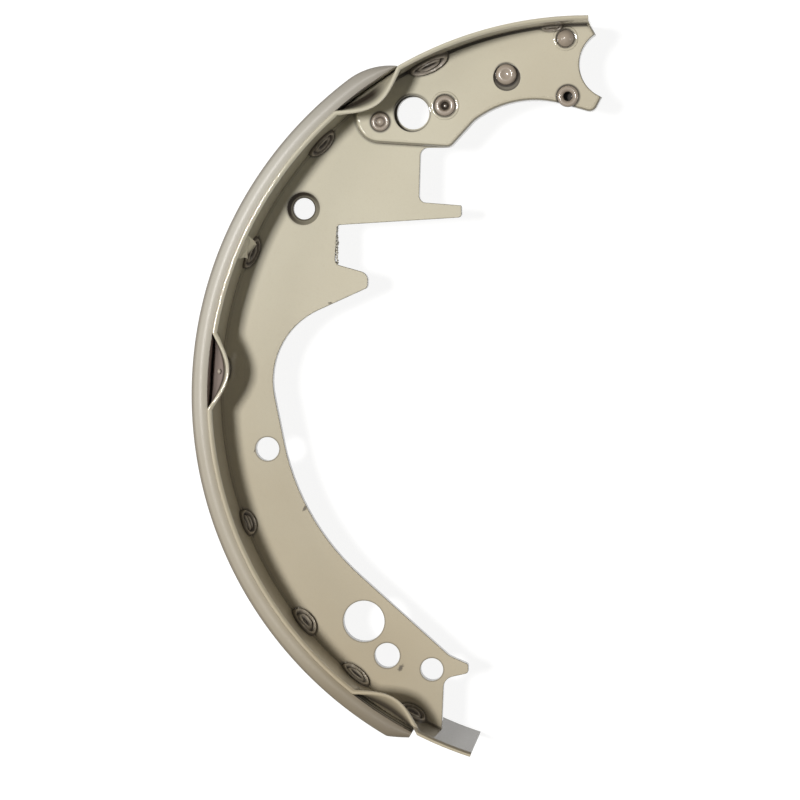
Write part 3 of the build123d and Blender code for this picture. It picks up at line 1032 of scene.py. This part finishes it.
class SHOE_OT_lining(bpy.types.Operator):
    """Mould the lining with its crowned sides and thinned ends"""

    bl_idname = "shoe.lining"
    bl_label = "Mould the Lining"

    def execute(self, context):
        sizes = context.scene.shoe_sizes
        outer, inner = -LINING_LOW[0], TABLE_OUTSIDE
        values = {"Inner radius": inner, "Thickness": outer - inner}
        ends = (sizes.lining_start, sizes.lining_end)
        for (end, (reach, thickness, bulge)), end_angle in zip(LINING_SLOPES.items(), ends):
            far = end_angle + reach * MM / outer
            first = (outer * cos(far), outer * sin(far))
            edge = inner + thickness * MM
            last = (edge * cos(end_angle), edge * sin(end_angle))
            centre_distance, angle, radius = slope_arc(first, last, bulge * MM)
            angle %= tau
            values[end + " centre distance"] = centre_distance
            values[end + " centre angle"] = angle
            values[end + " arc"] = radius
            values[end + " middle"] = (end_angle + far) / 2 - angle
            values[end + " half"] = abs(far - end_angle) / 2 + 1e-4
        points = self.outline(outer, inner, sizes.lining_crown)
        grime_and_shade = self.grime_and_shade(outer, inner, points)
        span = (LINING_COLUMNS, *ends)
        roll("moulded_lining", "lining", thinned_bend, values, span, points, grime_and_shade)
        return {"FINISHED"}

    def outline(self, outer, inner, fall):
        """Points round the block: crowned sides with rounded outer edges."""
        low, high = LINING_LOW[2], LINING_HIGH[2]
        width = outer - inner
        shoulder = (outer - width * 0.07, high - fall * 0.7)
        crown = arc_points((inner, high - fall * 0.28), (inner + width * 0.56, high), shoulder, 14)
        nose = (outer - width * 0.015, high - fall * 1.1)
        rounding = arc_points(shoulder, nose, (outer, high - fall * 1.7), 4)
        side = [(min(radius, outer), height) for radius, height in crown + rounding[1:]]
        side.insert(0, (inner, high - 1.3 * MM))
        return side + [(radius, low + high - height) for radius, height in reversed(side)]

    def grime_and_shade(self, outer, inner, points):
        """Grime on the bonded face and on the friction face, and painted shade towards the outer edges.
        """
        # The edge share is painted shade on the rounded outer edges of the sides
        bonded, edge, friction = 1.0, 0.7, 0.35
        low, high = LINING_LOW[2] + 1.2 * MM, LINING_HIGH[2] - 1.2 * MM
        edge_start = 0.75
        grime_and_shade = []
        for radius, height in points:
            outward = (radius - inner) / (outer - inner)
            if outward < 0.001 and low < height < high:
                grime_and_shade.append(bonded)
            elif outward < 0.999:
                grime_and_shade.append(edge * max(0.0, outward - edge_start) / (1.0 - edge_start))
            else:
                grime_and_shade.append(friction)
        return grime_and_shade


def spin_on_rivet(name, node, tree, points, grime_and_shade, slot):
    """Spins an outline in millimetres about the axis of a rivet's node."""
    start = outline_mesh(name + "_outline", [(r * MM, h * MM) for r, h in points], grime_and_shade)
    piece = grow(name, tree, start, {"Columns": RIVET_COLUMNS, "Material": finish_of(slot)})
    middle = middle_of(node)
    piece.data.transform(Matrix.Translation((middle.x, middle.y, 0.0)))
    return piece


class SHOE_OT_rivets(bpy.types.Operator):
    """Form the heads of the five rivets"""

    bl_idname = "shoe.rivets"
    bl_label = "Form the Rivets"

    def execute(self, context):
        tree = spun_tree("formed_rivet", {}, plain_bend)
        for name in RIVETS:
            piece = spin_on_rivet(name + "_formed", name, tree, *self.outline(name), "rivet_steel")
            stand_for(piece, name)
        return {"FINISHED"}

    def outline(self, name):
        """Points in millimetres from the middle of the head to the rear, and their grime."""
        front, rear = PLATE_HIGH[2] / MM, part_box(name)[0][2] / MM
        points = []
        for arc in RIVETS[name][1]:
            row = [point for point in arc_points(*arc, 12) if point[0] >= -TINY]
            points += row[1:] if points else row
        grime_and_shade = [self.head_shade(name, radius, height) for radius, height in points]
        points = [(radius, height + front) for radius, height in points]
        bore_radius = points[0][0]
        web_rear = WEB_LOW[2] / MM - 0.1
        points += [(SHANK_RADIUS, points[-1][1]), (SHANK_RADIUS, web_rear)]
        points += [(REAR_HEAD[0][0], web_rear)]
        points += [(radius, rear + height) for radius, height in REAR_HEAD]
        # Painted shade in the tubular rivet's bore; the shank and the rear head are made darker
        shank_dark, bore_shade = 0.6, 1.0
        grime_and_shade += [shank_dark] * (len(points) - len(grime_and_shade))
        if name == "tubular_rivet":
            points += [(0.0, front - BORE_DEPTH), (bore_radius, front - BORE_DEPTH)]
            grime_and_shade += [bore_shade, bore_shade]
            grime_and_shade[0] = bore_shade
        return points, grime_and_shade

    def head_shade(self, name, radius, height):
        """Painted shade in a head's recess, at its rim and round the dome inside its ring."""
        head_radius, arcs = RIVETS[name]
        dome_radius, rim_start = arcs[0][2][0], 0.93
        recess = 0.0 if name == "button_rivet" else min(1.0, max(0.0, -height - 0.1) * 0.8)
        rim = max(0.0, radius / head_radius - rim_start) / (1.0 - rim_start) * 0.7
        at_dome = name == "corner_rivet" and abs(radius - dome_radius) < 0.2
        return max(recess, rim, 0.55 if at_dome else 0.0)


class SHOE_OT_welds(bpy.types.Operator):
    """Lay the weld beads on both faces of the web"""

    bl_idname = "shoe.welds"
    bl_label = "Lay the Welds"

    def execute(self, context):
        sizes = context.scene.shoe_sizes
        tree = bead_tree()
        start = bpy.data.meshes.new("bead_start")
        for number, (angle, length, leg) in enumerate(WELDS, start=1):
            front_base = PLATE_HIGH[2] if number <= PLATE_WELDS else WEB_HIGH[2]
            for face, base, side in (("front", front_base, 1.0), ("rear", WEB_LOW[2], -1.0)):
                name = f"weld_{face}_{number}"
                values = {
                    "Angle": radians(angle),
                    "Length": length * MM * BEAD_OVERRUN,
                    "Leg": leg * MM,
                    "Wall radius": TABLE_OUTSIDE - sizes.wall,
                    "Base": base,
                    "Side": side,
                    "Ripple": sizes.bead_ripple,
                    "Stripes": float(number == STREAKED_WELD),
                    "Seed": number + (REAR_SEEDS if face == "rear" else 0),
                    "Material": finish_of("weld_steel"),
                }
                stand_for(grow(name + "_bead", tree, start, values), name)
        return {"FINISHED"}


class SHOE_OT_collars(bpy.types.Operator):
    """Draw the low collars of paint round two of the rivets"""

    bl_idname = "shoe.collars"
    bl_label = "Draw the Paint Collars"

    def execute(self, context):
        tree = spun_tree("paint_collar", {}, plain_bend)
        front = PLATE_HIGH[2] / MM
        for name in ("dome_rivet", "recessed_rivet"):
            foot = RIVETS[name][0] + COLLAR_GAP
            edge = foot + COLLAR_WIDTH
            outline = arc_points((foot + 1.5, -0.08), (foot + 0.6, 0.2), (foot, 0.05), 8)
            outline += [(foot, -COLLAR_DEPTH), (edge, -COLLAR_DEPTH), (edge, -0.09)]
            points = [(radius, height + front) for radius, height in outline]
            grime_and_shade = [0.0] * len(points)
            piece = spin_on_rivet(name + "_collar", name, tree, points, grime_and_shade, "painted_steel")
            add_detail(piece)
        return {"FINISHED"}


class SHOE_OT_flap(bpy.types.Operator):
    """Cut the torn tab that hangs from the rim over the fourth weld"""

    bl_idname = "shoe.flap"
    bl_label = "Cut the Torn Tab"

    def execute(self, context):
        shell = bmesh.new()
        top, bottom = [self.ring(shell, thickness) for thickness in (0.0, TAB_THICKNESS)]
        shell.faces.new(top)
        shell.faces.new(list(reversed(bottom)))
        count = len(TAB_OUTLINE)
        for index in range(count):
            after = (index + 1) % count
            shell.faces.new((top[after], top[index], bottom[index], bottom[after]))
        bmesh.ops.triangulate(shell, faces=[f for f in shell.faces if len(f.verts) > 4])
        bmesh.ops.recalc_face_normals(shell, faces=shell.faces)
        detail_of("torn_tab", shell, "painted_steel")
        return {"FINISHED"}

    def ring(self, shell, thickness):
        """Corners of the tab at a thickness under its top."""
        ring = []
        for angle, depth in TAB_OUTLINE:
            hang = max(0.0, depth - TABLE_WALL)
            height = TABLE_HIGH[2] - (TAB_ROOT + TAB_DROOP * hang + thickness) * MM
            reach = TABLE_OUTSIDE - (depth - TAB_LEAN * hang - thickness * TAB_SETBACK) * MM
            turn = radians(angle)
            ring.append(shell.verts.new((reach * cos(turn), reach * sin(turn), height)))
        return ring


class SHOE_OT_spatter(bpy.types.Operator):
    """Drop a ball of weld spatter in the pocket of the middle nib"""

    bl_idname = "shoe.spatter"
    bl_label = "Drop the Spatter"

    def execute(self, context):
        ball = bmesh.new()
        place = Matrix.Translation(SPATTER_PLACE) @ Matrix.Diagonal((*SPATTER_STRETCH, 1.0))
        bmesh.ops.create_icosphere(ball, subdivisions=3, radius=SPATTER_RADIUS * MM, matrix=place)
        detail_of("spatter", ball, "weld_steel").shade_smooth()
        return {"FINISHED"}


def burr_tree():
    """Tree that sets rough grains along a sheared edge."""
    sizes = {
        "Edge": -0.0998,
        "From": 0.0675,
        "To": 0.0525,
        "Height": 0.0300,
        "Thickness": 0.004,
        "Count": 70,
        "Grain": 0.0004,
        "Seed": 3,
    }
    tree, wire, given = geometry_tree("edge_burrs", sizes)
    line = wire.node("GeometryNodeMeshLine", None, {"Count": given["Count"]})
    seed = given["Seed"]

    def random(low, high, offset):
        """Random number for each grain."""
        inputs = {2: low, 3: high, "Seed": seed + offset}
        return wire.node("FunctionNodeRandomValue", {"data_type": "FLOAT"}, inputs, 1)

    scatter = [random(-0.5, 0.5, number) for number in range(3)]
    along = wire.node("GeometryNodeInputIndex") / given["Count"] + scatter[0] * 0.02
    place = wire.joined(
        given["Edge"] + scatter[1] * given["Grain"],
        given["From"] + (given["To"] - given["From"]) * along,
        given["Height"] + scatter[2] * given["Thickness"],
    )
    line = wire.node("GeometryNodeSetPosition", None, {"Geometry": line, "Position": place})
    grain = wire.node("GeometryNodeMeshIcoSphere", None, {"Radius": 1.0, "Subdivisions": 2})
    lump = wire.node("ShaderNodeTexNoise", None, {"Scale": 1.1, "Detail": 1.0})
    normal = wire.node("GeometryNodeInputNormal")
    push = wire.node("ShaderNodeVectorMath", {"operation": "SCALE"}, {0: normal, "Scale": lump - 0.5})
    grain = wire.node("GeometryNodeSetPosition", None, {"Geometry": grain, "Offset": push})
    inputs = {0: (0.0, 0.0, 0.0), 1: (tau, tau, tau), "Seed": seed + 9}
    turn = wire.node("FunctionNodeRandomValue", {"data_type": "FLOAT_VECTOR"}, inputs)
    size = random(0.4, 1.3, 7) * given["Grain"]
    inputs = {"Points": line, "Instance": grain, "Rotation": turn, "Scale": size}
    close_tree(wire, given, wire.node("GeometryNodeInstanceOnPoints", None, inputs))
    return tree


class SHOE_OT_burrs(bpy.types.Operator):
    """Leave the burrs along the sheared edge of the slot"""

    bl_idname = "shoe.burrs"
    bl_label = "Leave the Burrs"

    def execute(self, context):
        start = bpy.data.meshes.new("burr_start")
        piece = grow("edge_burrs", burr_tree(), start, {"Material": finish_of("burr")})
        add_detail(piece)
        return {"FINISHED"}


def area_lamp(name, place, target, size, power, colour):
    """Square soft lamp that looks at a target."""
    data = bpy.data.lights.new(name, "AREA")
    data.shape = "SQUARE"
    data.size = size
    data.energy = power
    data.color = colour
    lamp = add_object(name, data)
    lamp.location = place
    lamp.rotation_euler = (Vector(target) - Vector(place)).to_track_quat("-Z", "Y").to_euler()


class SHOE_OT_stage(bpy.types.Operator):
    """Set up the pale floor, the soft lamps and the camera"""

    bl_idname = "shoe.stage"
    bl_label = "Set the Stage"

    def execute(self, context):
        self.floor()
        self.world(context)
        for lamp in LAMPS:
            area_lamp(*lamp)
        self.camera(context)
        return {"FINISHED"}

    def floor(self):
        """A level square that stays pale by a glow that lights nothing but is seen."""
        signs = ((-1, -1), (1, -1), (1, 1), (-1, 1))
        corners = [(x * FLOOR_HALF, y * FLOOR_HALF, FLOOR_DEPTH) for x, y in signs]
        mesh = bpy.data.meshes.new("floor")
        mesh.from_pydata(corners, [], [(0, 1, 2, 3)])
        material, wire = new_shader("pale_floor")
        lit = wire.node("ShaderNodeBsdfDiffuse", None, {"Color": (*(FLOOR_GREY,) * 3, 1)})
        strength = self.seen(wire) * FLOOR_GLOW
        glow = wire.node("ShaderNodeEmission", None, {"Color": (1, 1, 1, 1), "Strength": strength})
        both = wire.node("ShaderNodeAddShader", None, {0: lit, 1: glow})
        wire.node("ShaderNodeOutputMaterial", None, {"Surface": both})
        mesh.materials.append(material)
        add_object("floor", mesh)

    def seen(self, wire):
        """1 for rays from the camera and for those that gloss or glass send on."""
        kinds = ("Is Camera Ray", "Is Glossy Ray", "Is Transmission Ray")
        return highest(wire, [wire.node("ShaderNodeLightPath", None, None, kind) for kind in kinds])

    def world(self, context):
        """Pale studio that lights the shoe only a little."""
        world = bpy.data.worlds.new("studio")
        context.scene.world = world
        world.use_nodes = True
        world.node_tree.nodes.clear()
        wire = Wire(world.node_tree)
        camera_ray = wire.node("ShaderNodeLightPath", None, None, "Is Camera Ray")
        strength = STUDIO_LIGHT + camera_ray * (1.0 - STUDIO_LIGHT)
        inputs = {"Color": (*STUDIO_COLOUR, 1), "Strength": strength}
        sky = wire.node("ShaderNodeBackground", None, inputs)
        wire.node("ShaderNodeOutputWorld", None, {"Surface": sky})

    def camera(self, context):
        """Long lens over the shoe."""
        data = bpy.data.cameras.new("camera")
        data.sensor_fit = "HORIZONTAL"
        data.sensor_width = CAMERA_SENSOR
        data.lens = CAMERA_LENS
        data.clip_start = 0.05
        data.clip_end = 20.0
        camera = add_object("camera", data)
        turn = Matrix((CAMERA_RIGHT, -CAMERA_DOWN, -CAMERA_AHEAD)).transposed().to_4x4()
        camera.matrix_world = Matrix.Translation(CAMERA_PLACE) @ turn
        context.scene.camera = camera
        context.scene.view_settings.view_transform = "Standard"


OPERATORS = (
    SHOE_OT_paint,
    SHOE_OT_table,
    SHOE_OT_lining,
    SHOE_OT_rivets,
    SHOE_OT_welds,
    SHOE_OT_collars,
    SHOE_OT_flap,
    SHOE_OT_spatter,
    SHOE_OT_burrs,
    SHOE_OT_stage,
)


class SHOE_PT_panel(bpy.types.Panel):
    """Lists the steps, the sizes and the colours of the brake shoe"""

    bl_idname = "SHOE_PT_panel"
    bl_label = "Brake Shoe"
    bl_space_type = "VIEW_3D"
    bl_region_type = "UI"
    bl_category = "Brake Shoe"

    def draw(self, context):
        layout = self.layout
        for group in (context.scene.shoe_look, context.scene.shoe_sizes):
            box = layout.box()
            for name in group.__annotations__:
                box.prop(group, name)
        for operator in OPERATORS:
            layout.operator(operator.bl_idname)


CLASSES = (ShoeLook, ShoeSizes, *OPERATORS, SHOE_PT_panel)


def register():
    for cls in CLASSES:
        bpy.utils.register_class(cls)
    bpy.types.Scene.shoe_look = bpy.props.PointerProperty(type=ShoeLook)
    bpy.types.Scene.shoe_sizes = bpy.props.PointerProperty(type=ShoeSizes)


def unregister():
    del bpy.types.Scene.shoe_sizes
    del bpy.types.Scene.shoe_look
    for cls in reversed(CLASSES):
        bpy.utils.unregister_class(cls)


def main():
    register()
    bpy.ops.shoe.paint()
    bpy.ops.shoe.table()
    bpy.ops.shoe.lining()
    bpy.ops.shoe.rivets()
    bpy.ops.shoe.welds()
    bpy.ops.shoe.collars()
    bpy.ops.shoe.flap()
    bpy.ops.shoe.spatter()
    bpy.ops.shoe.burrs()
    bpy.ops.shoe.stage()


if __name__ == "__main__":
    main()
